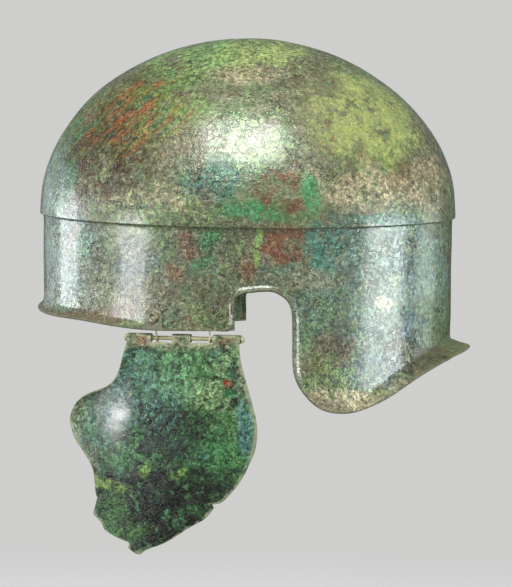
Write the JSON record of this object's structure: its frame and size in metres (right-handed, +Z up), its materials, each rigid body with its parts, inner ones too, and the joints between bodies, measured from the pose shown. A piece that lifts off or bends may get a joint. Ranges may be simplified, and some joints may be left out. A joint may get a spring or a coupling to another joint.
{
  "type": "greek helmet",
  "caption": "Ancient Greek bronze helmet with a ridged dome, open face, ear openings, flared neck guard and one hinged, chipped cheek-piece.",
  "frame": {"origin": "inside of the crown, where the wearer's head carries the bowl", "axes": "+Z up, -X the way the face looks, -Y the wearer's left side"},
  "size_m": [0.2374, 0.184, 0.2768],
  "materials": {
    "bowl_bronze": "polished green, olive and red-brown patina",
    "cheek_bronze": "dark green and brown patina",
    "plate_remains": "pale corroded",
    "rivet_bronze": "worn and corroded",
    "wire_metal": "dull",
    "pin_bronze": "worn"
  },
  "bodies": {
    "helmet": {"helmet_bowl": "bowl_bronze", "hinge_plate": "plate_remains", "hinge_rivet": "rivet_bronze", "wire_stud": "rivet_bronze", "wire_front": "wire_metal", "wire_rear": "wire_metal"},
    "cheek": {"cheek_piece": "cheek_bronze", "hinge_pin": "pin_bronze"}
  },
  "joints": [
    {"name": "cheek_hinge", "type": "hinge", "parent": "helmet", "child": "cheek", "pos_m": [-0.03142, -0.08198, -0.16097], "axis": [-0.9734, 0.2291, 0], "range_deg": [-40, 100]}
  ]
}
